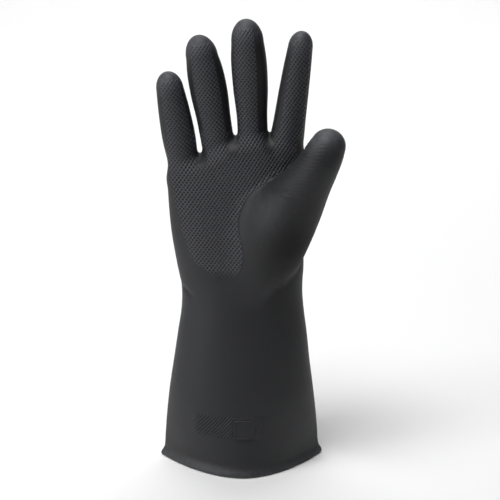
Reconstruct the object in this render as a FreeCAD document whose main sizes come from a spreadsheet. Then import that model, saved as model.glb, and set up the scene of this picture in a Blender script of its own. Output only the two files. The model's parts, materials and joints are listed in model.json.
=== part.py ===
import FreeCAD, Part
import os
from FreeCAD import Placement, Rotation, Vector

# A right-hand insulating rubber gauntlet glove, standing on the rim of its cuff with the fingers up.
# Frame: origin at the centre of the cuff rim's foot, +Z along the arm to the fingertips,
# +X to the thumb side, -Y out of the palm, +Y out of the back of the hand. Millimetres and degrees.
# The skin is one thickness of rubber. It is divided where it bends, at the wrist and at the knuckles,
# and each division is a short ball on the far piece nested inside the near piece's open end.

doc = FreeCAD.newDocument("insulating_glove")
sheet = doc.addObject("Spreadsheet::Sheet", "Dimensions")

SKIN = {
    "wall": 1.3,            # thickness of the rubber
    "gap": 0.5,             # clearance round a ball in its socket
    "ball_depth": 0.6,      # how far a ball reaches below its centre, in ball radii
    "relief_depth": 0.85,   # depth of the palm-side notch at a knuckle, in ball radii
    "column_length": 42.0,  # how far a finger's root runs down into the hand
}

GAUNTLET = {
    "rim_height": 6.5,      # height of the flared rim
    "rim_lip": 3.5,         # height of the rim's widest line
    "rim_wide": 65.0,       # half-width and half-depth at the widest line
    "rim_deep": 49.0,
    "rim_foot_wide": 63.6,  # the same at the foot, where the lip turns in
    "rim_foot_deep": 47.6,
    "rim_wall": 2.4,        # thickness at the lip
    "cuff_wide": 62.4,      # the sleeve's half-width and half-depth at the rim
    "cuff_deep": 46.6,
    "forearm_height": 50.0,
    "forearm_wide": 58.0,
    "forearm_deep": 43.0,
    "taper_height": 100.0,
    "taper_wide": 51.4,
    "taper_deep": 37.6,
    "sleeve_height": 130.0,
    "sleeve_wide": 47.6,
    "sleeve_deep": 34.2,
    "patch_left": -40.0,    # the raised marking panel on the front of the cuff
    "patch_width": 60.0,
    "patch_foot": 27.0,
    "patch_height": 23.0,
    "patch_rise": 0.5,
}

HAND = {
    "wrist_height": 138.0,  # height of the wrist's bending line
    "wrist_wide": 44.5,     # half-width and radius of the wrist's ball
    "wrist_deep": 31.0,
    "neck_rise": 6.0,       # sections of the hand: height over the wrist, centre, half-sizes
    "neck_wide": 34.0,
    "neck_deep": 23.5,
    "heel_rise": 18.0,
    "heel_wide": 46.6,
    "heel_deep": 31.5,
    "palm_rise": 47.0,
    "palm_x": -2.5,
    "palm_wide": 50.0,
    "palm_deep": 28.5,
    "grip_rise": 87.0,
    "grip_x": -5.0,
    "grip_wide": 52.6,
    "grip_deep": 24.5,
    "knuckle_rise": 123.0,
    "knuckle_x": -5.5,
    "knuckle_wide": 53.4,
    "knuckle_deep": 15.5,
    "thenar_radius": 19.5,
    "thenar_x": 20.0,
    "thenar_y": -11.0,
    "thenar_z": 168.0,
    "thenar_setback": 7.0,  # how far the mound's open end stops short of the thumb's root knuckle
}

# Each finger: its base knuckle, its lean towards the thumb side, the three phalanx lengths
# (the last one to the centre of the fingertip) and the outer radii at the knuckles and fingertip.
FINGERS = {
    "index": (37.6, 282.5, 7.4, 24.7, 21.5, 14.6, 12.0, 11.0, 10.7, 9.2),
    "middle": (8.6, 282.5, -2.6, 27.5, 24.0, 15.4, 11.9, 13.2, 13.2, 11.8),
    "ring": (-20.5, 280.5, -9.1, 24.6, 21.4, 12.4, 12.5, 13.5, 12.9, 11.2),
    "little": (-47.4, 265.8, -9.3, 19.5, 17.2, 8.9, 13.2, 12.7, 11.2, 9.9),
}
FINGER_SIZES = (
    "knuckle_at_x", "knuckle_at_z", "lean",
    "base_length", "middle_length", "tip_length",
    "base_radius", "middle_radius", "tip_radius", "dome_radius",
)

THUMB = {
    "thumb_root_x": 55.0,   # the thumb's root knuckle, level with the web to the index finger
    "thumb_root_y": -43.0,
    "thumb_root_z": 243.0,
    "thumb_bend_x": 61.6,   # the knuckle in the middle of the thumb
    "thumb_bend_y": -44.8,
    "thumb_bend_z": 259.0,
    "thumb_dome_x": 66.3,   # the centre of the thumb's tip
    "thumb_dome_y": -45.0,
    "thumb_dome_z": 273.6,
    "thumb_root_radius": 16.2,
    "thumb_bend_radius": 14.0,
    "thumb_dome_radius": 12.4,
}

# Which way the pad of the thumb faces, and with it the side that the thumb bends to.
THUMB_PAD = Vector(-0.5, -0.866, 0.0)
REACH = 40.0       # half-size of the boxes that trim the skin, larger than any piece they cut
OVERRUN = 1.0      # how far a hollow runs past the open end that it makes


def fill_sheet(sizes):
    """Adds each size to the sheet as a row of its own: its name, and its value under that name."""
    for name, size in sizes.items():
        fill_sheet.row += 1
        sheet.set("A%d" % fill_sheet.row, name)
        sheet.set("B%d" % fill_sheet.row, str(size))
        sheet.setAlias("B%d" % fill_sheet.row, name)


fill_sheet.row = 0
for group in (SKIN, GAUNTLET, HAND, THUMB):
    fill_sheet(group)
for finger, numbers in FINGERS.items():
    fill_sheet({finger + "_" + size: number for size, number in zip(FINGER_SIZES, numbers)})
doc.recompute()


def value(name):
    return float(sheet.get(name))


def d(name):
    """The way that an expression names a cell of the sheet."""
    return "Dimensions." + name


def primitive(kind, name, place=Placement(), **sizes):
    """A Part primitive whose sizes follow the sheet."""
    thing = doc.addObject("Part::" + kind, name)
    for size, expression in sizes.items():
        thing.setExpression(size, expression)
    thing.Placement = place
    return thing


def up(height):
    return Placement(Vector(0, 0, height), Rotation())


def fuse(name, things):
    thing = doc.addObject("Part::MultiFuse", name)
    thing.Shapes = things
    return thing


def cut(name, base, tool):
    thing = doc.addObject("Part::Cut", name)
    thing.Base = base
    thing.Tool = tool
    return thing


def oval_loft(name, sections):
    """A solid through level ovals, each given as expressions: height, centre x, half-sizes in x and y."""
    ovals = []
    for number, (height, centre, wide, deep) in enumerate(sections):
        oval = doc.addObject("Part::Ellipse", "%s_oval_%d" % (name, number))
        oval.setExpression("MajorRadius", wide)
        oval.setExpression("MinorRadius", deep)
        oval.setExpression("Placement.Base.x", centre)
        oval.setExpression("Placement.Base.z", height)
        ovals.append(oval)
    loft = doc.addObject("Part::Loft", name)
    loft.Sections = ovals
    loft.Solid = True
    loft.Ruled = False
    return loft


def grown(sections, growth):
    """The same ovals, larger all round by an expression, or smaller where it is negative."""
    return [(height, centre, "%s + (%s)" % (wide, growth), "%s + (%s)" % (deep, growth))
            for height, centre, wide, deep in sections]


# ---------------------------------------------------------------- the gauntlet

SLEEVE_OVALS = [
    (d("rim_height"), "0", d("cuff_wide"), d("cuff_deep")),
    (d("forearm_height"), "0", d("forearm_wide"), d("forearm_deep")),
    (d("taper_height"), "0", d("taper_wide"), d("taper_deep")),
    (d("sleeve_height"), "0", d("sleeve_wide"), d("sleeve_deep")),
]


def make_gauntlet():
    """The flared sleeve over the forearm, open at both ends."""
    outer = oval_loft("gauntlet_outer", SLEEVE_OVALS)
    inner = oval_loft("gauntlet_inner", grown(SLEEVE_OVALS, "-" + d("wall")))
    return cut("gauntlet", outer, inner)


def make_cuff_rim():
    """The flared lip round the mouth of the cuff. Its flat foot is what the glove stands on."""
    foot = ("0", "0", d("rim_foot_wide"), d("rim_foot_deep"))
    lip = (d("rim_lip"), "0", d("rim_wide"), d("rim_deep"))
    top = (d("rim_height"), "0", d("cuff_wide"), d("cuff_deep"))
    outer = oval_loft("cuff_rim_outer", [foot, lip, top])
    inner_top = grown([top], "-" + d("wall"))
    inner = oval_loft("cuff_rim_inner", grown([foot, lip], "-" + d("rim_wall")) + inner_top)
    return cut("cuff_rim", outer, inner)


def make_size_patch():
    """The raised panel on the palm side of the cuff, for a size mark that is left blank."""
    raised = oval_loft("patch_raised", grown(SLEEVE_OVALS, d("patch_rise")))
    sleeve = oval_loft("patch_sleeve", SLEEVE_OVALS)
    skin = cut("patch_skin", raised, sleeve)
    window = primitive("Box", "patch_window", Length=d("patch_width"), Width="%g" % (2 * REACH),
                       Height=d("patch_height"))
    window.setExpression("Placement.Base.x", d("patch_left"))
    window.setExpression("Placement.Base.y", "-%g" % (2 * REACH))
    window.setExpression("Placement.Base.z", d("patch_foot"))
    patch = doc.addObject("Part::Common", "size_patch")
    patch.Base = skin
    patch.Tool = window
    return patch


# ---------------------------------------------------------------- phalanges

def ball_radius(radius):
    """The ball that fits inside an open end of this outer radius, as an expression."""
    return "(%s - %s - %s)" % (radius, d("wall"), d("gap"))


def thinner(radius):
    return "%s - %s" % (radius, d("wall"))


def notch(name, place, ball):
    """A box over the palm side of an open end, so that the next phalanx can bend into it."""
    box = primitive("Box", name, Length="%g" % (2 * REACH), Width="%g" % REACH, Height="%g" % REACH)
    drop = value("relief_depth") * ball
    box.Placement = place.multiply(Placement(Vector(-REACH, -REACH, -drop), Rotation()))
    return box


def phalanx(name, socket, end, length, next_socket_radius=None):
    """A hollow piece of finger along its own +Z, with its knuckle at its own origin.

    socket, end and length are expressions: the outer radius of the open end that it sits in, its own
    outer radius at the far end, and its length. A piece with no next knuckle ends in a dome.
    """
    root = ball_radius(socket)
    outer = [
        primitive("Sphere", name + "_ball", Radius=root),
        primitive("Cone", name + "_tube", Radius1=root, Radius2=end, Height=length),
    ]
    inner = [
        primitive("Sphere", name + "_ball_hollow", Radius=thinner(root)),
        primitive("Cone", name + "_tube_hollow", Radius1=thinner(root), Radius2=thinner(end), Height=length),
    ]
    tools = []
    if next_socket_radius is None:
        for pieces, radius in ((outer, end), (inner, thinner(end))):
            dome = primitive("Sphere", name + "_dome", Radius=radius)
            dome.setExpression("Placement.Base.z", length)
            pieces.append(dome)
    else:
        mouth = primitive("Cylinder", name + "_mouth", Radius=thinner(end), Height="%g" % OVERRUN)
        mouth.setExpression("Placement.Base.z", length)
        inner.append(mouth)
        ball = next_socket_radius - value("wall") - value("gap")
        tools.append(notch(name + "_notch", up(evaluate(length)), ball))
    trim = primitive("Box", name + "_trim", Length="%g" % (2 * REACH), Width="%g" % (2 * REACH),
                     Height="%g" % REACH)
    trim.setExpression("Placement.Base.x", "-%g" % REACH)
    trim.setExpression("Placement.Base.y", "-%g" % REACH)
    trim.setExpression("Placement.Base.z", "-%s * %s - %g" % (d("ball_depth"), root, REACH))
    tools.append(trim)
    tools.append(fuse(name + "_inner", inner))
    return cut(name, fuse(name + "_outer", outer), fuse(name + "_tools", tools))


def evaluate(expression):
    """The value of an expression that is one cell's name or one number."""
    return value(expression.replace("Dimensions.", "")) if "Dimensions." in expression else float(expression)


def finger_place(finger, reach):
    """A point on the finger's line, a distance beyond its base knuckle, with the finger's lean."""
    lean = Rotation(Vector(0, 1, 0), value(finger + "_lean"))
    base = Vector(value(finger + "_knuckle_at_x"), 0, value(finger + "_knuckle_at_z"))
    return Placement(base + lean.multVec(Vector(0, 0, reach)), lean)


def make_finger(finger):
    """The three phalanges of one finger, each in its place."""
    stages = ("base", "middle", "tip")
    nodes = []
    reach = 0.0
    for stage, after in zip(stages, stages[1:] + (None,)):
        socket = d("%s_%s_radius" % (finger, stage))
        end = d("%s_%s_radius" % (finger, after or "dome"))
        length = d("%s_%s_length" % (finger, stage))
        next_radius = value("%s_%s_radius" % (finger, after)) if after else None
        node = phalanx("%s_%s" % (finger, stage), socket, end, length, next_radius)
        node.Placement = finger_place(finger, reach)
        reach += evaluate(length)
        nodes.append(node)
    return nodes


def thumb_point(name):
    return Vector(*[value("thumb_%s_%s" % (name, axis)) for axis in "xyz"])


def thumb_place(start, end):
    """A place at start whose +Z runs to end and whose -Y faces the way of the thumb's pad."""
    along = (end - start).normalize()
    across = along.cross(THUMB_PAD).normalize()
    back = along.cross(across)
    return Placement(start, Rotation(across, back, along, "ZXY"))


def make_thumb():
    """The thumb's two phalanges. Their lengths are the distances between their knuckles."""
    root = thumb_point("root")
    bend = thumb_point("bend")
    dome = thumb_point("dome")
    lower = phalanx("thumb_base", d("thumb_root_radius"), d("thumb_bend_radius"),
                    "%.4f" % root.distanceToPoint(bend), value("thumb_bend_radius"))
    lower.Placement = thumb_place(root, bend)
    upper = phalanx("thumb_tip", d("thumb_bend_radius"), d("thumb_dome_radius"),
                    "%.4f" % bend.distanceToPoint(dome))
    upper.Placement = thumb_place(bend, dome)
    return [lower, upper]


# ---------------------------------------------------------------- the hand

def hand_ovals(growth):
    """The hand's level sections from the wrist to the knuckles, where growth also lifts the closed top."""
    base = d("wrist_height")
    sections = [
        (base + " + " + d("neck_rise"), "0", d("neck_wide"), d("neck_deep")),
        (base + " + " + d("heel_rise"), "0", d("heel_wide"), d("heel_deep")),
    ]
    for name in ("palm", "grip", "knuckle"):
        sections.append((base + " + " + d(name + "_rise"), d(name + "_x"), d(name + "_wide"), d(name + "_deep")))
    top = sections.pop()
    sections.append(("%s + (%s)" % (top[0], growth),) + top[1:])
    return grown(sections, growth)


def wrist_ball(name, growth):
    """The rounded root of the hand, as wide as the wrist and round about the wrist's bending line."""
    turned = Placement(Vector(0, 0, value("wrist_height")), Rotation(Vector(0, 1, 0), 90))
    deep = "%s + (%s)" % (d("wrist_deep"), growth)
    wide = "%s + (%s)" % (d("wrist_wide"), growth)
    return primitive("Ellipsoid", name, turned, Radius1=wide, Radius2=deep, Radius3=deep)


def finger_root(name, finger, growth, overrun):
    """The round root of a finger, from inside the hand up to the base knuckle."""
    radius = "%s_base_radius" % finger
    length = value("column_length")
    place = finger_place(finger, -length)
    size = "%s + (%s)" % (d(radius), growth)
    return primitive("Cylinder", name, place, Radius=size, Height="%g" % (length + overrun))


def thenar(name, growth, overrun):
    """The mound under the thumb, from the heel of the hand to the thumb's root knuckle."""
    start = Vector(value("thenar_x"), value("thenar_y"), value("thenar_z"))
    root = thumb_point("root")
    place = thumb_place(start, root)
    length = start.distanceToPoint(root) - value("thenar_setback")
    heel = "%s + (%s)" % (d("thenar_radius"), growth)
    end = "%s + (%s)" % (d("thumb_root_radius"), growth)
    return [
        primitive("Sphere", name + "_heel", Placement(start, Rotation()), Radius=heel),
        primitive("Cone", name + "_mound", place, Radius1=heel, Radius2=end, Height="%g" % length),
        primitive("Cylinder", name + "_mouth", place.multiply(up(length - OVERRUN)), Radius=end,
                  Height="%g" % (OVERRUN + overrun)),
    ]


def hand_form(name, growth, overrun):
    """The whole form of the hand as one solid: outer skin at growth 0, hollow at minus the wall."""
    parts = [oval_loft(name + "_palm", hand_ovals(growth)), wrist_ball(name + "_wrist", growth)]
    for finger in FINGERS:
        parts.append(finger_root("%s_%s_root" % (name, finger), finger, growth, overrun))
    parts += thenar(name + "_thenar", growth, overrun)
    return fuse(name, parts)


def make_hand():
    """Palm, back and thumb mound in one skin, with an open socket for each finger and the thumb."""
    outer = hand_form("hand_outer", "0", 0.0)
    inner = hand_form("hand_inner", "-" + d("wall"), OVERRUN)
    tools = [inner]
    for finger in FINGERS:
        ball = value(finger + "_base_radius") - value("wall") - value("gap")
        tools.append(notch(finger + "_root_notch", finger_place(finger, 0.0), ball))
    root = thumb_point("root")
    thumb_socket = Placement(root, thumb_place(root, thumb_point("bend")).Rotation)
    ball = value("thumb_root_radius") - value("wall") - value("gap")
    tools.append(notch("thumb_root_notch", thumb_socket, ball))
    trim = primitive("Box", "wrist_trim", Length="%g" % (4 * REACH), Width="%g" % (4 * REACH),
                     Height="%g" % REACH)
    floor = value("wrist_height") - value("ball_depth") * value("wrist_deep") - REACH
    trim.Placement = Placement(Vector(-2 * REACH, -2 * REACH, floor), Rotation())
    tools.append(trim)
    return cut("hand_shell", outer, fuse("hand_tools", tools))


nodes = [make_gauntlet(), make_cuff_rim(), make_size_patch(), make_hand()]
for finger in FINGERS:
    nodes += make_finger(finger)
nodes += make_thumb()
doc.recompute()

for thing in doc.Objects:
    if {"Invalid", "Error"} & set(thing.State):
        raise RuntimeError("%s did not recompute" % thing.Name)
for node in nodes:
    node.Label = node.Name
    if node.Shape.isNull() or not node.Shape.isValid() or len(node.Shape.Solids) != 1:
        raise RuntimeError("%s is not one valid solid" % node.Name)

os.makedirs("parts", exist_ok=True)
for node in nodes:
    node.Shape.exportStep(os.path.join("parts", node.Label + ".step"))
    box = node.Shape.optimalBoundingBox()
    print("%-14s %9.0f mm3  x %.1f..%.1f  y %.1f..%.1f  z %.1f..%.1f" % (
        node.Label, node.Shape.Volume, box.XMin, box.XMax, box.YMin, box.YMax, box.ZMin, box.ZMax))
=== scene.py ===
import json
import math
import bpy
import numpy as np
import openvdb
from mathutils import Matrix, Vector


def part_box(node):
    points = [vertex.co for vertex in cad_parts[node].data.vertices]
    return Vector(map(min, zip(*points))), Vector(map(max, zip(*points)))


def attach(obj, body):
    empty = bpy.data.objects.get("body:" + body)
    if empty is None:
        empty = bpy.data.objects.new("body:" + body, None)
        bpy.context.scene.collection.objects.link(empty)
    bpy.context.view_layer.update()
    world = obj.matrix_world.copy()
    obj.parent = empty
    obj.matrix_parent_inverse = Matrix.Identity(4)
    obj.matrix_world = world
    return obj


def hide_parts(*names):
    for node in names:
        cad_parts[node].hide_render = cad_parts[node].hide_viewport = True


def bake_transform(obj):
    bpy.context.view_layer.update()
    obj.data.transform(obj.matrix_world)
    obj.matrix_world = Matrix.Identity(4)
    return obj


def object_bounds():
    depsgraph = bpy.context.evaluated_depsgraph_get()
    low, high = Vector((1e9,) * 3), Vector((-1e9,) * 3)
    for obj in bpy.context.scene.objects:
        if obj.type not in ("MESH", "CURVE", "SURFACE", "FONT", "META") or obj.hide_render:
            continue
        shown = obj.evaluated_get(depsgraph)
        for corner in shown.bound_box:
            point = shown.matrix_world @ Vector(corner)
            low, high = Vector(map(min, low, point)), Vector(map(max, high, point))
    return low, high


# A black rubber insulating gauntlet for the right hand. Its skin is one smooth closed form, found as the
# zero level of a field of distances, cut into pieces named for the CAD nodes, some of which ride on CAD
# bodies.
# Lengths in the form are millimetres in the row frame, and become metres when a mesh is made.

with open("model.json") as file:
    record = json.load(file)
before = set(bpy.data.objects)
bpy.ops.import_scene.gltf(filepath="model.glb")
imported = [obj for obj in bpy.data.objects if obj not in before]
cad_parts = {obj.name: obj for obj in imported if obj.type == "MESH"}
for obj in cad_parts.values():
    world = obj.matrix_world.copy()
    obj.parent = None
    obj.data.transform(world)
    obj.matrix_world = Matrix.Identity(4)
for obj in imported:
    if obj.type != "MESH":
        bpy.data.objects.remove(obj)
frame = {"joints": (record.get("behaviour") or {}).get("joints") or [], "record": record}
cad_low, cad_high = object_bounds()

MM = 0.001
PALM = np.array([0.0, -1.0, 0.0])      # the way the palm faces
FINGERS = ("index", "middle", "ring", "little")
KNUCKLE = {j["name"]: np.array(j["pos_m"]) / MM for j in frame["joints"]}
HINGE = {j["name"]: np.array(j["axis"]) for j in frame["joints"]}

WALL = 1.3              # thickness of the rubber
GRID_STEP = 1.6         # spacing of the points that the form is first found on
FINE_CUTS = 4           # a face in a patterned place is cut into this many each way
GRID_MARGIN = 12        # how far the grid of points goes past the CAD box
FIELD_BAND = 9.0        # the field is held to this on the grid
FAR = 1e9


# ------------------------------------------------------------------ curves and blends

def curve(x, at, values):
    """A smooth curve through values, and level beyond both ends."""
    at = np.array(at, float)
    values = np.array(values, float)
    slope = np.gradient(values, at)
    x = np.clip(x, at[0], at[-1])
    i = np.clip(np.searchsorted(at, x) - 1, 0, len(at) - 2)
    span = at[i + 1] - at[i]
    s = (x - at[i]) / span
    rise = s * s * (3 - 2 * s)
    bend = span * (s * (1 - s) ** 2 * slope[i] - s * s * (1 - s) * slope[i + 1])
    return values[i] * (1 - rise) + values[i + 1] * rise + bend


def step(x, low, high):
    """0 below low, 1 above high, and smooth between."""
    s = np.clip((x - low) / (high - low), 0, 1)
    return s * s * (3 - 2 * s)


def join(a, b, radius):
    """The union of two fields with a fillet of about this radius in the corner."""
    return np.minimum(a, b) - np.maximum(radius - np.abs(a - b), 0) ** 2 / (4 * radius)


def clip(a, b, radius):
    """What is inside both fields, with the edge rounded."""
    return -join(-a, -b, radius)


def along(p, start, direction):
    return (p - start) @ direction


# ------------------------------------------------------------------ the form of the glove

# Level sections of the sleeve, wrist and palm: height, half-width, half-depth, centre in x, and the powers
# of x and y in the oval. Both are 2 in an ellipse. A power of y near 1 draws its two sides to points,
# as where the mouth of the cuff has been lying flat.
BODY = np.array([
    (-10, 62.8, 47.6, 0.2, 1.8, 1.05),
    (8, 62.1, 46.8, 0.2, 1.82, 1.1),
    (38, 59.8, 43.6, 0.1, 1.92, 1.5),
    (62, 57.1, 41.0, 0.1, 2.0, 1.8),
    (85, 53.9, 38.6, 0.4, 2.0, 1.95),
    (107, 51.1, 36.4, 0.9, 2.0, 2.0),
    (131, 47.9, 33.9, 1.1, 2.0, 2.0),
    (140, 47.4, 33.0, 0.9, 2.0, 2.0),
    (150, 47.8, 32.2, 0.5, 2.0, 2.0),
    (161, 49.2, 31.2, -0.2, 2.0, 2.0),
    (193, 51.0, 28.4, -3.4, 2.1, 2.1),
    (225, 51.4, 24.5, -5.2, 2.2, 2.2),
    (254, 52.0, 17.0, -5.2, 2.3, 2.3),
    (275, 53.0, 12.6, -5.0, 2.4, 2.4),
])
# The line that the webs between the fingers stand on, from the little finger's side to the index's.
WEB_LINE = ((-64, -47, -30, -6, 22, 38, 54), (238, 247, 253, 265.5, 267.5, 264, 256))

# Each finger: outer radius at five places from its root to where its tip begins to round over,
# the length of the rounded tip, and how far its tip leans to the palm and to the thumb.
FINGER_FORM = {
    "index": ((-14, 0, 24, 45, 56), (12.9, 12.2, 11.3, 10.2, 9.4), 13.0, 3.0, 0.3),
    "middle": ((-14, 0, 24, 48, 60), (11.6, 11.7, 13.3, 13.4, 12.3), 18.0, 3.5, -1.3),
    "ring": ((-14, 0, 24, 42, 51), (12.7, 13.0, 14.2, 13.5, 12.2), 17.5, 3.5, -1.3),
    "little": ((-14, 0, 18, 32, 40), (12.0, 12.8, 12.3, 11.3, 10.5), 14.5, 3.0, 0.0),
}
FLATNESS = 0.92          # depth of a finger over its width

# The mound and the thumb in one: centres and radii from the heel of the hand to the thumb's tip.
THUMB_LINE = np.array([
    (14.0, -8.0, 160.0, 20.0),
    (21.5, -13.0, 177.0, 25.0),
    (28.5, -19.0, 198.0, 26.8),
    (38.5, -28.0, 220.0, 24.0),
    (49.0, -37.5, 240.0, 19.0),
    (57.5, -43.5, 256.0, 16.0),
    (62.2, -45.0, 266.0, 14.7),
    (65.2, -45.0, 272.8, 13.3),
])
THUMB_BALLS = 29
THUMB_REACH = 40.0       # the thumb's field is this, or less, everywhere
THUMB_MIDDLE, THUMB_HALF = 215, 110      # the thumb's field is worked out this far above and below here
CUFF_TURN = math.radians(2.3)    # the flattened mouth is turned a little on the sleeve,
CUFF_BACK = 3.6                  # and set back from it
CUFF_SET_HEIGHT = 70.0           # height at which both have died away
LIP_RISE = 2.9           # how far the flared lip stands out of the sleeve
LIP_HEIGHT = 10.0
LIP_FOOT = 1.5           # the lip has its full width up to here
FOOT_ROUND = 2.4         # how much the edge of the mouth is rounded
WEB_ROUND = 9.0          # how much the top of the palm is rounded
FINGER_FILLET = 2.5      # the corner between one finger and the next
ROOT_FILLET = 6.0        # the corner between the fingers and the palm
FINGER_ROOT = 30         # how far a finger's form goes down into the palm


def section(p, column):
    return curve(p[:, 2], BODY[:, 0], BODY[:, column])


def lip(z):
    return LIP_RISE * (1 - step(z, LIP_FOOT, LIP_HEIGHT)) ** 1.3


def sleeve_and_palm(p):
    """The forearm, wrist and palm in one: ovals whose size and squareness change with height."""
    flare = lip(p[:, 2])
    wide = section(p, 1) + flare
    deep = section(p, 2) + flare
    power_x = section(p, 4)
    power_y = section(p, 5)
    mouth = 1 - step(p[:, 2], 0, CUFF_SET_HEIGHT)
    dx = p[:, 0] - section(p, 3)
    dy = p[:, 1] - CUFF_BACK * mouth
    turn = CUFF_TURN * mouth
    x = np.maximum(np.abs(dx * np.cos(turn) + dy * np.sin(turn)) / wide, 1e-6)
    y = np.maximum(np.abs(dy * np.cos(turn) - dx * np.sin(turn)) / deep, 1e-6)
    mean = (power_x + power_y) / 2
    size = (x ** power_x + y ** power_y) ** (1 / mean)
    slope_x = power_x * x ** (power_x - 1) / wide
    slope_y = power_y * y ** (power_y - 1) / deep
    steepness = size ** (1 - mean) * np.hypot(slope_x, slope_y) / mean
    side = (size - 1) / np.maximum(steepness, 1 / deep)
    top = (p[:, 2] - curve(p[:, 0], *WEB_LINE)) * 0.94
    return clip(side, top, WEB_ROUND)


def finger(p, name):
    """A finger: round in section, with a long rounded tip, and bowed a little to the palm."""
    start = KNUCKLE[name + "_base_flex"]
    across = HINGE[name + "_base_flex"]
    direction = finger_way(name)
    stations, radii, cap, lean, sway = FINGER_FORM[name]
    t = along(p, start, direction)
    top = stations[-1]
    bow = (np.clip(t, 0, top + cap) / (top + cap)) ** 2
    side = along(p, start, across) - sway * bow
    depth = along(p, start, np.cross(direction, across)) + lean * bow
    over = np.maximum(t - top, 0) * radii[-1] / cap + np.maximum(-FINGER_ROOT - t, 0)
    return np.sqrt(side ** 2 + (depth / FLATNESS) ** 2 + over ** 2) - curve(t, stations, radii)


def finger_way(name):
    """The way a finger points."""
    direction = KNUCKLE[name + "_tip_flex"] - KNUCKLE[name + "_base_flex"]
    return direction / np.linalg.norm(direction)


def thumb_direction():
    """From the thumb's root knuckle to the middle of its tip."""
    direction = THUMB_LINE[-1, :3] - KNUCKLE["thumb_base_flex"]
    return direction / np.linalg.norm(direction)


THUMB_WAY = thumb_direction()


def thumb_balls():
    """Centres and radii of a close row of balls along the thumb's middle line."""
    steps = np.linspace(0, len(THUMB_LINE) - 1, THUMB_BALLS)
    return np.stack([curve(steps, np.arange(len(THUMB_LINE)), THUMB_LINE[:, k]) for k in range(4)], 1)


def thumb(p):
    """The thumb and the swelling under it: the smooth skin over a row of balls.

    The distance to the skin is least near one ball, and a parabola through that ball's distance and its
    two neighbours' finds the least value between them.
    """
    field = np.full(len(p), THUMB_REACH)
    near = (p[:, 0] > THUMB_LINE[:, 0].min() - 50) & (np.abs(p[:, 2] - THUMB_MIDDLE) < THUMB_HALF)
    q = p[near]
    if len(q) == 0:
        return field
    distance = np.stack([np.linalg.norm(q - ball[:3], axis=1) - ball[3] for ball in thumb_balls()])
    least = np.clip(distance.argmin(0), 1, THUMB_BALLS - 2)
    row = np.arange(len(q))
    before, here, after = (distance[least + k, row] for k in (-1, 0, 1))
    bend = np.maximum(before - 2 * here + after, 1e-6)
    along_line = np.clip((before - after) / (2 * bend), -1, 1)
    field[near] = here + along_line * (after - before) / 2 + along_line ** 2 * bend / 2
    return field


def thumb_fillet(p):
    """The corner where the mound meets the hand: broad towards the palm, a crease towards the wrist."""
    crease = step(p[:, 0] - 0.35 * (p[:, 2] - 160), 18, 32) * (1 - step(p[:, 2], 190, 205))
    web = step(p[:, 2], 222, 240)
    return 16 - 12.5 * crease - 9 * web


def smooth_form(p):
    """The glove without its raised patterns."""
    fingers = finger(p, FINGERS[0])
    for name in FINGERS[1:]:
        fingers = join(fingers, finger(p, name), FINGER_FILLET)
    hand = join(sleeve_and_palm(p), fingers, ROOT_FILLET)
    whole = join(hand, thumb(p), thumb_fillet(p))
    return clip(whole, -p[:, 2], FOOT_ROUND)


# ------------------------------------------------------------------ raised patterns and marks

GRIP_PITCH = 2.35        # spacing of the crossed ribs of the grip
GRIP_HEIGHT = 0.65       # the ribs are drawn a little taller than real ones, so that they show
GRIP_LEVEL = 0.25        # part of the ribs' height that lies under the smooth form
GRIP_RISING, GRIP_FALLING = math.radians(56), math.radians(-45)
RIB_PITCH = 2.65         # spacing of the ribs on the thumb
HATCH_PITCH = 2.0        # spacing of the slanting ribs on the cuff's panel
PANEL_LOW, PANEL_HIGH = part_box("size_patch")[0] / MM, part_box("size_patch")[1] / MM
# How much of each finger's width the grip covers, to the little finger's side and to the thumb's.
GRIP_SPAN = {"index": (0.62, 0.86), "middle": (0.9, 0.42), "ring": (0.74, 0.66), "little": (0.64, 0.86)}
GRIP_EDGE = 0.06         # the grip fades out over this part of a finger's half-width, each way
SMOOTH_TIP = 6.0         # length at the end of a finger that the grip leaves smooth
# The grip's left and right edges on the palm: heights, and x at each.
GRIP_LEFT = ((164, 175, 190, 209, 238, 262), (-22, -36, -43, -48.5, -54.5, -57.5))
GRIP_RIGHT = ((162, 172, 216, 229, 243, 250), (-5, 0, 0, 7.5, 30, 43))
WEB_GAPS = ((-30.5, 253), (-6.5, 264.5), (22, 266))     # x and height of the smooth webs
THUMB_RIB_HEIGHT = 0.22
# The cuff's framed square: its middle from the panel's right and top, and half its width.
SQUARE_IN, SQUARE_DOWN, SQUARE_HALF = 17.5, 10.0, 7.6
BAR_UP = 3.4             # the bar under the square, from the panel's foot
HATCH_HEIGHT, LINE_HEIGHT = 0.6, 0.5


def ribs(x, z, angle, pitch):
    """Rounded ribs that run at an angle to level: 0 in the grooves and 1 on the crests."""
    across = -x * math.sin(angle) + z * math.cos(angle)
    return 0.5 + 0.5 * np.cos(2 * math.pi * across / pitch)


def diamonds(p):
    rising = ribs(p[:, 0], p[:, 2], GRIP_RISING, GRIP_PITCH)
    falling = ribs(p[:, 0], p[:, 2], GRIP_FALLING, GRIP_PITCH)
    return 0.75 * (1 - (1 - rising) * (1 - falling)) + 0.25 * rising * falling


def finger_grip(p, name):
    """Where a finger has the grip, from 0 to 1."""
    start = KNUCKLE[name + "_base_flex"]
    stations, radii, cap, _, _ = FINGER_FORM[name]
    t = along(p, start, finger_way(name))
    radius = curve(t, stations, radii)
    over = np.clip((t - stations[-1]) / cap, 0, 1)
    radius = np.maximum(radius * np.sqrt(1 - over ** 2), 1.0)
    side = along(p, start, HINGE[name + "_base_flex"]) / radius
    to_little, to_thumb = GRIP_SPAN[name]
    top = stations[-1] + cap - SMOOTH_TIP
    span = step(side + to_little, -GRIP_EDGE, GRIP_EDGE) * (1 - step(side - to_thumb, -GRIP_EDGE, GRIP_EDGE))
    return span * (1 - step(t, top - 1, top + 1)) * step(t, -16, -12) * (np.abs(side) < 1.3)


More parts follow.
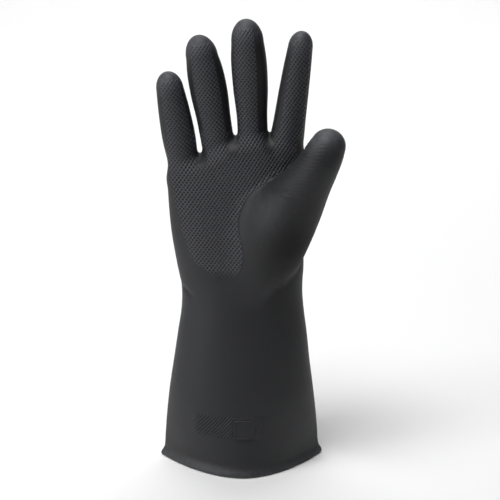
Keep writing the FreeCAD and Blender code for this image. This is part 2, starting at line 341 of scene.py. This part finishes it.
def palm_grip(p):
    """Where the palm has the grip: up to the mound of the thumb and in from the hand's edge."""
    x, z = p[:, 0], p[:, 2]
    inside = step(x - curve(z, *GRIP_LEFT), -2.5, 2.5) * step(curve(z, *GRIP_RIGHT) - x, -0.8, 0.8)
    webs = 1.0
    for gap_x, gap_z in WEB_GAPS:
        webs = webs * step(np.hypot(x - gap_x, (z - gap_z) * 0.7), 1.5, 7.5)
    return inside * webs * step(z, 159, 171) * (1 - step(z, 272, 276))


def grip_place(p):
    """Where the crossed ribs are, from 0 to 1: the palm side of the palm and of the four fingers."""
    where = palm_grip(p)
    for name in FINGERS:
        where = np.maximum(where, finger_grip(p, name))
    clear = 0.3 + 1.7 * step(p[:, 2], 228, 240)
    off_thumb = step(thumb(p), clear, clear + 2.5)
    return where * off_thumb * step(-p[:, 1], 1.0, 4.0)


def thumb_ribs(p):
    """Level ribs on the side of the thumb that faces the fingers."""
    across = np.cross(THUMB_WAY, PALM)
    side = along(p, KNUCKLE["thumb_base_flex"], across / np.linalg.norm(across))
    near = 1 - step(thumb(p), 1.5, 3.0)
    where = near * (1 - step(side, -4.0, 1.0)) * step(p[:, 2], 232, 237) * (1 - step(p[:, 2], 276, 281))
    return where * ribs(p[:, 0], p[:, 2], math.radians(6), RIB_PITCH)


def panel(p):
    """The cuff's marking panel: slanting ribs, and a blank framed square with a bar under it."""
    x, z = p[:, 0], p[:, 2]
    low_x, _, low_z = PANEL_LOW
    high_x, _, high_z = PANEL_HIGH
    front = step(-p[:, 1], 10, 12)
    square_x, square_z, half = high_x - SQUARE_IN, high_z - SQUARE_DOWN, SQUARE_HALF
    square = np.maximum(np.abs(x - square_x), np.abs(z - square_z))
    outline = step(square, half - 1.1, half - 0.6) * (1 - step(square, half, half + 0.5))
    bar = step(half + 3 - np.abs(x - square_x), 0, 0.6) * step(0.6 - np.abs(z - low_z - BAR_UP), 0, 0.5)
    inside = step(x, low_x, low_x + 6) * (1 - step(x, high_x - 4, high_x))
    inside = inside * step(z, low_z + 5.5, low_z + 6.5) * (1 - step(z, high_z, high_z + 1))
    hatch = inside * step(square, half + 1.0, half + 1.6) * ribs(x, z, math.radians(50), HATCH_PITCH)
    faint = 1 - 0.5 * step(x, square_x + half, square_x + half + 2)
    return front * (HATCH_HEIGHT * hatch * faint + LINE_HEIGHT * np.maximum(outline, bar))


def swell(x, z, middle, reach):
    """A soft round patch: 1 at its middle, and dying away past its reach in x and z."""
    return np.exp(-((x - middle[0]) / reach[0]) ** 2 - ((z - middle[1]) / reach[1]) ** 2)


def dents(p):
    """Slow swells and hollows: the palm's cup and heel, and small folds at the thumb's web and the wrist."""
    x, z = p[:, 0], p[:, 2]
    palm_side = step(-p[:, 1], 4, 12)
    cup = -1.8 * swell(x, z, (-14, 222), (20, 26))
    heel = 1.2 * swell(x, z, (-32, 186), (15, 22))
    fold_line = z - 236.5 + 0.04 * (x - 30) ** 2
    fold = 0.9 * np.exp(-(fold_line / 1.3) ** 2) - 1.1 * np.exp(-((fold_line - 3.4) / 2.0) ** 2)
    crumple = -swell(x, z + 0.5 * (x + 41), (-41, 146), (5, 2.6))
    return palm_side * (cup + heel + fold * np.exp(-((x - 30) / 6.5) ** 2)) + crumple * (p[:, 1] < 0)


def painted_highlight(p):
    """Painted highlight: a paler grey painted where the light falls on the fingertips, the lip, and the top
    of the mound.
    """
    tips = np.zeros(len(p))
    for name in FINGERS:
        stations, _, cap, _, _ = FINGER_FORM[name]
        end = stations[-1] + cap
        t = along(p, KNUCKLE[name + "_base_flex"], finger_way(name))
        tips = np.maximum(tips, step(t, end - 22, end - 1) * (finger(p, name) < 3))
    end = THUMB_LINE[-1, 2] + THUMB_LINE[-1, 3]
    tips = np.maximum(tips, step(p[:, 2], end - 20, end - 2) * (thumb(p) < 3))
    edge = 0.6 * (1 - step(p[:, 2], 3, 11))
    mound_top = 0.35 * swell(p[:, 0], p[:, 2], (18, 222), (13, 16)) * (p[:, 1] < 0)
    return np.maximum(np.maximum(tips, edge), mound_top)


def painted_mound_shade(p):
    """Painted shade: a deeper black painted on the foot of the mound of the thumb, which faces away from the
    light.
    """
    mound = swell(p[:, 0], p[:, 2], (42, 190), (28, 36))
    return mound * step(6 - thumb(p), 0, 5) * (p[:, 1] < 0)


def relief(p):
    """How far the skin stands out of the smooth form."""
    grip = GRIP_HEIGHT * grip_place(p) * (diamonds(p) - GRIP_LEVEL)
    return grip + THUMB_RIB_HEIGHT * thumb_ribs(p) + panel(p) + dents(p)


def form(p):
    return smooth_form(p) - relief(p)


def dented_form(p):
    """The form with its slow dents, but without the raised patterns."""
    return smooth_form(p) - dents(p)


def inner_form(p):
    """The inside of the rubber."""
    return dented_form(p) + WALL


# ------------------------------------------------------------------ meshing

def slope(field, p, reach):
    """The field's direction of steepest rise at each point, and its value there."""
    value = field(p)
    rise = np.stack([field(p + reach * axis) - value for axis in np.eye(3)], 1) / reach
    return value, rise


def settle(p, field, rounds, reach=0.05):
    """Moves points onto the field's zero level, and gives the outward directions there."""
    for _ in range(rounds):
        value, rise = slope(field, p, reach)
        length2 = np.maximum((rise ** 2).sum(1), 0.05)
        move = -(value / length2)[:, None] * rise
        far = np.linalg.norm(move, axis=1)
        p = p + move * np.minimum(1, GRID_STEP / np.maximum(far, 1e-9))[:, None]
    _, rise = slope(field, p, reach)
    return p, rise / np.maximum(np.linalg.norm(rise, axis=1), 1e-9)[:, None]


def first_mesh():
    """The form as a closed mesh of even quads, without the closed foot of the cuff."""
    low = np.array(cad_low) / MM - GRID_MARGIN
    high = np.array(cad_high) / MM + GRID_MARGIN
    axes = [np.arange(a, b, GRID_STEP) for a, b in zip(low, high)]
    shape = [len(a) for a in axes]
    values = np.empty(shape, np.float32)
    for i, x in enumerate(axes[0]):
        sheet = np.stack(np.meshgrid([x], axes[1], axes[2], indexing="ij"), -1).reshape(-1, 3)
        values[i] = np.clip(smooth_form(sheet), -FIELD_BAND, FIELD_BAND).reshape(shape[1], shape[2])
    grid = openvdb.FloatGrid(FIELD_BAND)
    grid.copyFromArray(values)
    points, quads = grid.convertToQuads(0.0)
    points = low + np.array(points, float) * GRID_STEP
    quads = np.array(quads, int)
    corner = points[quads]
    facing = np.cross(corner[:, 2] - corner[:, 0], corner[:, 3] - corner[:, 1])
    _, outward = slope(smooth_form, corner.mean(1), 0.1)
    if (facing * outward).sum() < 0:
        quads = quads[:, ::-1]
    points, _ = settle(points, smooth_form, 2)
    centre = points[quads].mean(1)
    foot = (centre[:, 2] < FOOT_ROUND / 2) & (sleeve_and_palm(centre) < -FOOT_ROUND)
    quads = quads[~foot]
    used, flat = np.unique(quads, return_inverse=True)
    return points[used], flat.reshape(-1, 4)


def edges_of(quads):
    """Every side of every quad as (lower point, higher point), and whether it runs that way."""
    sides = np.stack([quads, np.roll(quads, -1, 1)], -1)
    forward = sides[..., 0] < sides[..., 1]
    return np.sort(sides, -1), forward


def refine(points, quads, chosen, cuts):
    """Cuts the chosen quads into cuts x cuts smaller ones.

    Gives all the points, the small quads, the chosen quad that each comes from, and for each side that
    was cut the points along it, so that the quad next door can take them in.
    """
    picked = quads[chosen]
    sides, forward = edges_of(picked)
    unique, where = np.unique(sides.reshape(-1, 2), axis=0, return_inverse=True)
    where = where.reshape(-1, 4)
    inner = cuts - 1
    share = np.arange(1, cuts) / cuts
    start = len(points)
    on_side = points[unique[:, 0], None] * (1 - share)[:, None] + points[unique[:, 1], None] * share[:, None]
    side_ids = start + np.arange(len(unique) * inner).reshape(-1, inner)
    lattice = np.empty((len(picked), cuts + 1, cuts + 1), int)
    for (i, j), k in zip(((0, 0), (cuts, 0), (cuts, cuts), (0, cuts)), range(4)):
        lattice[:, i, j] = picked[:, k]
    runs = np.where(forward[..., None], side_ids[where], side_ids[where][..., ::-1])
    lattice[:, 1:cuts, 0] = runs[:, 0]
    lattice[:, cuts, 1:cuts] = runs[:, 1]
    lattice[:, 1:cuts, cuts] = runs[:, 2, ::-1]
    lattice[:, 0, 1:cuts] = runs[:, 3, ::-1]
    u, v = np.meshgrid(share, share, indexing="ij")
    weight = np.stack([(1 - u) * (1 - v), u * (1 - v), u * v, (1 - u) * v])
    middle = np.einsum("kij,nkc->nijc", weight, points[picked])
    middle_start = start + side_ids.size
    middle_ids = middle_start + np.arange(len(picked) * inner * inner)
    lattice[:, 1:cuts, 1:cuts] = middle_ids.reshape(-1, inner, inner)
    small = [lattice[:, :-1, :-1], lattice[:, 1:, :-1], lattice[:, 1:, 1:], lattice[:, :-1, 1:]]
    everything = np.concatenate([points, on_side.reshape(-1, 3), middle.reshape(-1, 3)])
    owner = np.repeat(np.flatnonzero(chosen), cuts * cuts)
    cut_sides = {tuple(pair): ids for pair, ids in zip(unique.tolist(), side_ids.tolist())}
    return everything, np.stack(small, -1).reshape(-1, 4), owner, cut_sides


def side_points(a, b, cut_sides):
    """The points strictly between a and b along a side, in that order."""
    between = cut_sides.get((min(a, b), max(a, b)), [])
    return between if a < b else between[::-1]


def new_mesh(name, points, faces, normals, marks):
    """A mesh object from points in millimetres and faces of any size, smooth with these normals."""
    mesh = bpy.data.meshes.new(name)
    sizes = np.concatenate([np.full(len(f), len(f[0])) for f in faces])
    corners = np.concatenate([np.asarray(f, int).ravel() for f in faces])
    mesh.vertices.add(len(points))
    mesh.vertices.foreach_set("co", (points * MM).astype(np.float32).ravel())
    mesh.loops.add(len(corners))
    mesh.loops.foreach_set("vertex_index", corners.astype(np.int32))
    mesh.polygons.add(len(sizes))
    starts = np.concatenate([[0], np.cumsum(sizes)[:-1]])
    mesh.polygons.foreach_set("loop_start", starts.astype(np.int32))
    mesh.polygons.foreach_set("use_smooth", np.ones(len(sizes), bool))
    mesh.update(calc_edges=True)
    mesh.validate()
    place = mesh.attributes.new("moulded_place", "FLOAT_VECTOR", "POINT")
    place.data.foreach_set("vector", (points * MM).astype(np.float32).ravel())
    for mark, values in marks.items():
        attribute = mesh.attributes.new(mark, "FLOAT", "POINT")
        attribute.data.foreach_set("value", values.astype(np.float32))
    mesh.normals_split_custom_set_from_vertices(normals.astype(np.float32))
    thing = bpy.data.objects.new(name, mesh)
    bpy.context.scene.collection.objects.link(thing)
    return thing


# ------------------------------------------------------------------ dividing the skin

BEND = {"base": 8.0, "middle": 10.0, "tip": 7.0}       # half-length of the bend at a knuckle
LITTLE_BEND = {"base": 7.0, "middle": 9.0, "tip": 5.5}
THUMB_BEND = {"base": (7.0, 7.0), "tip": (6.0, 7.0)}
RIM_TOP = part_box("cuff_rim")[1].z / MM + 4.0            # the flare of the lip dies away here
WRIST_BEND = (24.0, 18.0)                              # below and above the wrist's line
ON_FINGER, ON_THUMB = 3.0, 2.5      # a face this near a finger's or the thumb's form belongs to it


def bends_of(name):
    """For each knuckle of a finger: its name, and where the bend starts and ends along the finger."""
    start = KNUCKLE[name + "_base_flex"]
    found = []
    for stage in ("base", "middle", "tip"):
        at = np.linalg.norm(KNUCKLE["%s_%s_flex" % (name, stage)] - start)
        half = (LITTLE_BEND if name == "little" else BEND)[stage]
        found.append((stage, at - half, at + half))
    return found


def label(points, quads):
    """Which piece each quad belongs to."""
    centre = points[quads].mean(1)
    labels = np.full(len(quads), "hand_shell", object)
    wrist = KNUCKLE["wrist_flex"][2]
    on_thumb = thumb(centre)
    nearest = np.full(len(quads), FAR)
    for name in FINGERS:
        t = along(centre, KNUCKLE[name + "_base_flex"], finger_way(name))
        distance = finger(centre, name)
        here = (distance < nearest) & (distance < ON_FINGER) & (distance < on_thumb)
        nearest = np.where(here, distance, nearest)
        floor = -FAR
        for stage, low, high in bends_of(name):
            floor = low if stage == "base" else (floor + low) / 2
            labels[here & (t > floor)] = "%s_%s" % (name, stage)
            floor = high
    t = along(centre, KNUCKLE["thumb_base_flex"], THUMB_WAY)
    bend = along(KNUCKLE["thumb_tip_flex"], KNUCKLE["thumb_base_flex"], THUMB_WAY)
    here = (on_thumb < ON_THUMB) & (on_thumb < nearest)
    labels[here & (t > -THUMB_BEND["base"][0])] = "thumb_base"
    labels[here & (t > (THUMB_BEND["base"][1] + bend - THUMB_BEND["tip"][0]) / 2)] = "thumb_tip"
    z = centre[:, 2]
    labels[z < wrist + WRIST_BEND[1]] = "gauntlet"
    labels[z < RIM_TOP] = "cuff_rim"
    low, high = PANEL_LOW, PANEL_HIGH
    inside = (centre[:, 0] > low[0]) & (centre[:, 0] < high[0]) & (z > low[2]) & (z < high[2] + 2)
    labels[inside & (centre[:, 1] < 0)] = "size_patch"
    return labels


def skin_piece(name, labels, inner, quads, small, owner, cut_sides, points, normals, marks):
    """One piece of the skin as a closed shell: outer face, inner face and the cut edges between.

    A quad whose neighbour was cut takes that neighbour's points in along the side that they share.
    """
    mine = labels == name
    whole = mine & ~np.isin(np.arange(len(quads)), owner)
    fine = small[labels[owner] == name]
    shift = len(points)
    plain, many = [], {}
    for quad in quads[whole].tolist():
        ring = []
        for a, b in zip(quad, quad[1:] + quad[:1]):
            ring.append(a)
            ring += side_points(a, b, cut_sides)
        if len(ring) == 4:
            plain.append(ring)
        else:
            many.setdefault(len(ring), []).append(ring)
    sides, forward = edges_of(quads[mine])
    unique, where, count = np.unique(sides.reshape(-1, 2), axis=0, return_inverse=True, return_counts=True)
    lone = (count == 1)[where.ravel()]
    ways = forward.ravel()[lone]
    for (low, high), way in zip(sides.reshape(-1, 2)[lone].tolist(), ways):
        a, b = (low, high) if way else (high, low)
        ring = [b] + side_points(b, a, cut_sides) + [a, a + shift, b + shift]
        many.setdefault(len(ring), []).append(ring)
    faces = [f for f in (plain, fine, quads[mine][:, ::-1] + shift) if len(f)] + list(many.values())
    all_points = np.concatenate([points, inner])
    all_normals = np.concatenate([normals, -normals[:len(inner)]])
    all_marks = {k: np.concatenate([v, np.zeros(len(inner))]) for k, v in marks.items()}
    used = np.unique(np.concatenate([np.asarray(f).ravel() for f in faces]))
    index = np.zeros(len(all_points), int)
    index[used] = np.arange(len(used))
    faces = [index[np.asarray(f)] for f in faces]
    return new_mesh(name + "_skin", all_points[used], faces, all_normals[used],
                    {k: v[used] for k, v in all_marks.items()})


def patterned_places(centre, labels):
    """Which faces need small quads: the raised patterns, the lip, and the fold at the thumb's web."""
    beside = np.array([1.0, 0, 0])
    patterned = (grip_place(centre) > 0.01) | (thumb_ribs(centre) > 0.001) | (panel(centre) > 0.001)
    patterned |= grip_place(centre + beside) + grip_place(centre - beside) > 0.01
    patterned |= np.isin(labels, ("cuff_rim", "size_patch"))
    from_fold = np.abs(centre - np.array([30.0, -35.0, 236.0]))
    return patterned | (from_fold < np.array([15.0, 25.0, 10.0])).all(1)


def make_skin():
    """All the pieces of the skin, by the name of the CAD node that each stands for."""
    base, quads = first_mesh()
    labels = label(base, quads)
    patterned = patterned_places(base[quads].mean(1), labels)
    points, small, owner, cut_sides = refine(base, quads, patterned, FINE_CUTS)
    points, _ = settle(points, dented_form, 2)
    points, normals = settle(points, form, 3)
    inner, _ = settle(base, inner_form, 3)
    marks = {
        "grip": grip_place(points),
        # The next three marks carry painted light: highlight on the grip's crests and shade in its grooves,
        # highlight on the fingertips, lip and top of the mound, and shade at the mound's foot.
        "crest": grip_place(points) * diamonds(points),
        "painted_highlight": painted_highlight(points),
        "painted_mound_shade": painted_mound_shade(points),
    }
    return {
        name: skin_piece(name, labels, inner, quads, small, owner, cut_sides, points, normals, marks)
        for name in sorted(set(labels))
    }


# ------------------------------------------------------------------ materials

def linear(hex_colour):
    """An sRGB colour as linear red, green, blue and alpha."""
    parts = [int(hex_colour[i:i + 2], 16) / 255 for i in (1, 3, 5)]
    return [c / 12.92 if c <= 0.04045 else ((c + 0.055) / 1.055) ** 2.4 for c in parts] + [1.0]


def add(tree, kind, inputs=(), **settings):
    """One node with its settings. inputs maps a socket to a value, or to another node's socket."""
    node = tree.nodes.new(kind)
    for name, value in settings.items():
        setattr(node, name, value)
    for socket, value in dict(inputs).items():
        if isinstance(value, bpy.types.NodeSocket):
            tree.links.new(value, node.inputs[socket])
        else:
            node.inputs[socket].default_value = value
    return node


# Sockets of a Mix node that mixes colours: its two colours, and the result.
COLOUR_A, COLOUR_B, MIXED = 6, 7, 2

GROOVE_SHADE_BLACK = "#040405"     # painted shade: the grip's grooves are painted darker, and painted highlight: its crests are painted paler, and they are smoother
CREST_HIGHLIGHT_GREY = "#3c3d43"      # and its crests are rubbed paler and smoother
# Painted shade: a deeper black at the foot of the mound of the thumb.
MOUND_SHADE_BLACK = "#050506"
# Painted highlight: a paler grey on the fingertips, the lip and the top of the mound.
HIGHLIGHT_GREY = "#4b4c51"
PATCH_SIZE = 45 * MM         # broad uneven patches from dipping and curing
RIPPLE_SIZE = 11 * MM        # slow ripples left as the rubber ran off the former
MOTTLE_SIZE = 4 * MM
GRAIN_SIZE = 0.6 * MM        # the matt skin's grain, drawn coarser than it is so that it shows


def dipped_rubber(name, dark, light, roughness):
    """Black dipped rubber, cured matt: a soft broad sheen, a fine grain, a faint uneven painted highlight,
    and painted shade in the grip's grooves and at the foot of the mound.
    """
    material = bpy.data.materials.new(name)
    material.use_nodes = True
    tree = material.node_tree
    tree.nodes.clear()
    place = add(tree, "ShaderNodeAttribute", attribute_name="moulded_place").outputs["Vector"]
    grip, crest, highlight_mark, mound_shade_mark = (
        add(tree, "ShaderNodeAttribute", attribute_name=mark).outputs["Fac"]
        for mark in ("grip", "crest", "painted_highlight", "painted_mound_shade")
    )
    broad = add(tree, "ShaderNodeTexNoise", {"Vector": place, "Scale": 1 / PATCH_SIZE, "Detail": 3.0,
                                             "Roughness": 0.55})
    mottle = add(tree, "ShaderNodeTexNoise", {"Vector": place, "Scale": 1 / MOTTLE_SIZE, "Detail": 2.0})
    patches = add(tree, "ShaderNodeMix", {"A": broad.outputs["Fac"], "B": mottle.outputs["Fac"],
                                          "Factor": 0.35}).outputs[0]

    # Colour: plain skin, the grip's grooves and crests painted as shade and highlight, the deeper black
    # painted as shade at the foot of the mound, and the painted highlight over all of them.
    skin = add(tree, "ShaderNodeMix", {"Factor": patches, COLOUR_A: linear(dark), COLOUR_B: linear(light)},
               data_type="RGBA")
    # The grip's grooves painted dark as shade and its crests painted pale as highlight.
    ribbed = add(tree, "ShaderNodeMix", {"Factor": crest, COLOUR_A: linear(GROOVE_SHADE_BLACK),
                                         COLOUR_B: linear(CREST_HIGHLIGHT_GREY)}, data_type="RGBA")
    colour = add(tree, "ShaderNodeMix", {"Factor": grip, COLOUR_A: skin.outputs[MIXED],
                                         COLOUR_B: ribbed.outputs[MIXED]}, data_type="RGBA")
    # Painted shade at the foot of the mound of the thumb.
    deep = add(tree, "ShaderNodeMix", {"Factor": mound_shade_mark, COLOUR_A: colour.outputs[MIXED],
                                       COLOUR_B: linear(MOUND_SHADE_BLACK)}, data_type="RGBA")
    # The painted highlight, broken up by the mottle.
    highlight_mottle = add(tree, "ShaderNodeMapRange", {"Value": mottle.outputs["Fac"], "From Min": 0.3,
                                             "From Max": 0.7, "To Min": 0.55, "To Max": 1.0})
    cover = add(tree, "ShaderNodeMath", {0: highlight_mark, 1: highlight_mottle.outputs["Result"]}, operation="MULTIPLY")
    highlighted = add(tree, "ShaderNodeMix", {"Factor": cover.outputs["Value"], COLOUR_A: deep.outputs[MIXED],
                                          COLOUR_B: linear(HIGHLIGHT_GREY)}, data_type="RGBA")

    # Roughness: rougher in the grooves and where the foot of the mound is painted as shade, smoother on the
    # crests.
    matt = add(tree, "ShaderNodeMapRange", {"Value": patches, "From Min": 0.3, "From Max": 0.7,
                                            "To Min": roughness - 0.04, "To Max": roughness + 0.05})
    rough = matt.outputs["Result"]
    for mark, change in ((grip, 0.1), (crest, -0.2), (mound_shade_mark, 0.25)):
        changed = add(tree, "ShaderNodeMath", {0: mark, 1: change, 2: rough}, operation="MULTIPLY_ADD")
        rough = changed.outputs["Value"]

    grain = add(tree, "ShaderNodeTexNoise", {"Vector": place, "Scale": 1 / GRAIN_SIZE, "Detail": 2.0})
    fine = add(tree, "ShaderNodeBump", {"Height": grain.outputs["Fac"], "Strength": 0.25,
                                        "Distance": 0.12 * MM})
    ripple = add(tree, "ShaderNodeTexNoise", {"Vector": place, "Scale": 1 / RIPPLE_SIZE, "Detail": 1.0})
    surface = add(tree, "ShaderNodeBump", {"Height": ripple.outputs["Fac"], "Strength": 0.35,
                                           "Distance": 0.6 * MM, "Normal": fine.outputs["Normal"]})
    shader = add(tree, "ShaderNodeBsdfPrincipled", {
        "Base Color": highlighted.outputs[MIXED], "Roughness": rough, "IOR": 1.5, "Specular IOR Level": 0.4,
        "Normal": surface.outputs["Normal"],
    })
    add(tree, "ShaderNodeOutputMaterial", {"Surface": shader.outputs["BSDF"]})
    return material


RUBBER = {
    # Black with a soft sheen. On the palm and fingers the crossed ribs catch the light on their crests.
    "grip_rubber": dipped_rubber("dipped_rubber_grip", "#141415", "#25262a", 0.57),
    # The same rubber left plain on the sleeve, where the sheen is one broad soft band.
    "smooth_rubber": dipped_rubber("dipped_rubber_smooth", "#141415", "#25262a", 0.57),
    # The thick turned-out edge, a little smoother, with a grey highlight painted along it.
    "rim_rubber": dipped_rubber("dipped_rubber_rim", "#151515", "#242426", 0.55),
    # The moulded panel: the sleeve's rubber, with its slanting ribs and lines standing out of it.
    "patch_rubber": dipped_rubber("dipped_rubber_panel", "#141415", "#25262a", 0.57),
}
SLOT = {s["node"]: s["material_slot"] for s in frame["record"]["subparts"]}


# ------------------------------------------------------------------ putting the skin on the bodies

def place_skin(pieces):
    """Each piece gets its rubber and hides its CAD node; the rim and the panel ride on the gauntlet's body
    and the hand's shell on the hand's, and the rest keep their places.
    """
    for name, piece in pieces.items():
        piece.data.materials.append(RUBBER[SLOT[name]])
        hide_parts(name)
    for name in ("cuff_rim", "size_patch"):
        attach(pieces[name], "gauntlet")
    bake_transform(pieces["gauntlet"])
    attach(pieces["hand_shell"], "hand")
    for name in FINGERS:
        for stage, low, high in bends_of(name):
            body = "%s_%s" % (name, stage)
            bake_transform(pieces[body])
    for stage in ("base", "tip"):
        low, high = THUMB_BEND[stage]
        body = "thumb_" + stage
        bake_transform(pieces[body])


place_skin(make_skin())


# ------------------------------------------------------------------ stage, light and camera

LIGHT_AIM = Vector((0.0, 0.0, 0.18))     # half way up the glove
LIGHT_DISTANCE = 1.4
LIGHT_SPREAD = math.radians(130)


def matt_white_paper():
    """Matt white background paper: an even white with no gloss."""
    material = bpy.data.materials.new("matt_white_paper")
    material.use_nodes = True
    shader = material.node_tree.nodes["Principled BSDF"]
    shader.inputs["Base Color"].default_value = linear("#fafafa")
    shader.inputs["Roughness"].default_value = 0.9
    return material


def make_stage():
    """A pale floor that sweeps up behind into a pale wall."""
    side, front, back, height, bend, parts = 4.0, -4.0, 2.2, 4.0, 0.8, 12
    profile = [(front, 0.0), (back - bend, 0.0)]
    for i in range(1, parts + 1):
        angle = i / parts * math.pi / 2
        profile.append((back - bend + bend * math.sin(angle), bend - bend * math.cos(angle)))
    profile.append((back, height))
    vertices = [(x, y, z) for y, z in profile for x in (-side, side)]
    faces = [(2 * i, 2 * i + 1, 2 * i + 3, 2 * i + 2) for i in range(len(profile) - 1)]
    mesh = bpy.data.meshes.new("studio_sweep")
    mesh.from_pydata(vertices, [], faces)
    for face in mesh.polygons:
        face.use_smooth = True
    floor = bpy.data.objects.new("studio_sweep", mesh)
    floor.data.materials.append(matt_white_paper())
    bpy.context.scene.collection.objects.link(floor)


def soft_light(name, azimuth, elevation, size, power):
    """A square soft box aimed at the glove. Azimuth 0 is in front of the palm, and right is positive."""
    around, up = math.radians(azimuth), math.radians(elevation)
    way = Vector((math.sin(around) * math.cos(up), -math.cos(around) * math.cos(up), math.sin(up)))
    area_light(name, LIGHT_AIM + LIGHT_DISTANCE * way, LIGHT_AIM, (size, size), power)


def area_light(name, place, aim, size, power):
    lamp = bpy.data.lights.new(name, "AREA")
    lamp.shape = "RECTANGLE"
    lamp.size, lamp.size_y = size
    lamp.energy = power
    lamp.spread = LIGHT_SPREAD
    thing = bpy.data.objects.new(name, lamp)
    thing.location = place
    thing.rotation_euler = (Vector(aim) - Vector(place)).to_track_quat("-Z", "Y").to_euler()
    bpy.context.scene.collection.objects.link(thing)


def make_lights():
    """Soft boxes from the left and above, a lit backdrop, and a dim room with a pale wall on the left."""
    soft_light("key_left", -62, 12, 0.6, 3.4)
    soft_light("key_upper_left", -30, 68, 0.6, 7.5)
    area_light("backdrop_light", (0.0, 1.2, 2.0), (0.0, 1.3, 0.0), (2.4, 0.8), 21.0)
    world = bpy.data.worlds.new("room_with_a_pale_left_wall")
    world.use_nodes = True
    tree = world.node_tree
    way = add(tree, "ShaderNodeTexCoord").outputs["Generated"]
    across = add(tree, "ShaderNodeSeparateXYZ", {"Vector": way})
    shade = add(tree, "ShaderNodeMapRange", {"Value": across.outputs["X"], "From Min": -1.0,
                                             "From Max": -0.6, "To Min": 0.5, "To Max": 0.02})
    background = tree.nodes["Background"]
    background.inputs["Color"].default_value = (1.0, 1.0, 1.0, 1.0)
    tree.links.new(shade.outputs["Result"], background.inputs["Strength"])
    bpy.context.scene.world = world


def make_camera():
    """A long lens, aimed at the glove's middle from 19 degrees above the level."""
    target = Vector((0.007, 0.0, 0.1754))
    distance, elevation = 1.6, math.radians(19)
    camera = bpy.data.cameras.new("camera")
    camera.lens = 147.2
    thing = bpy.data.objects.new("camera", camera)
    thing.location = target + distance * Vector((0, -math.cos(elevation), math.sin(elevation)))
    thing.rotation_euler = (target - thing.location).to_track_quat("-Z", "Y").to_euler()
    bpy.context.scene.collection.objects.link(thing)
    bpy.context.scene.camera = thing


make_stage()
make_lights()
make_camera()
bpy.context.scene.view_settings.view_transform = "Standard"
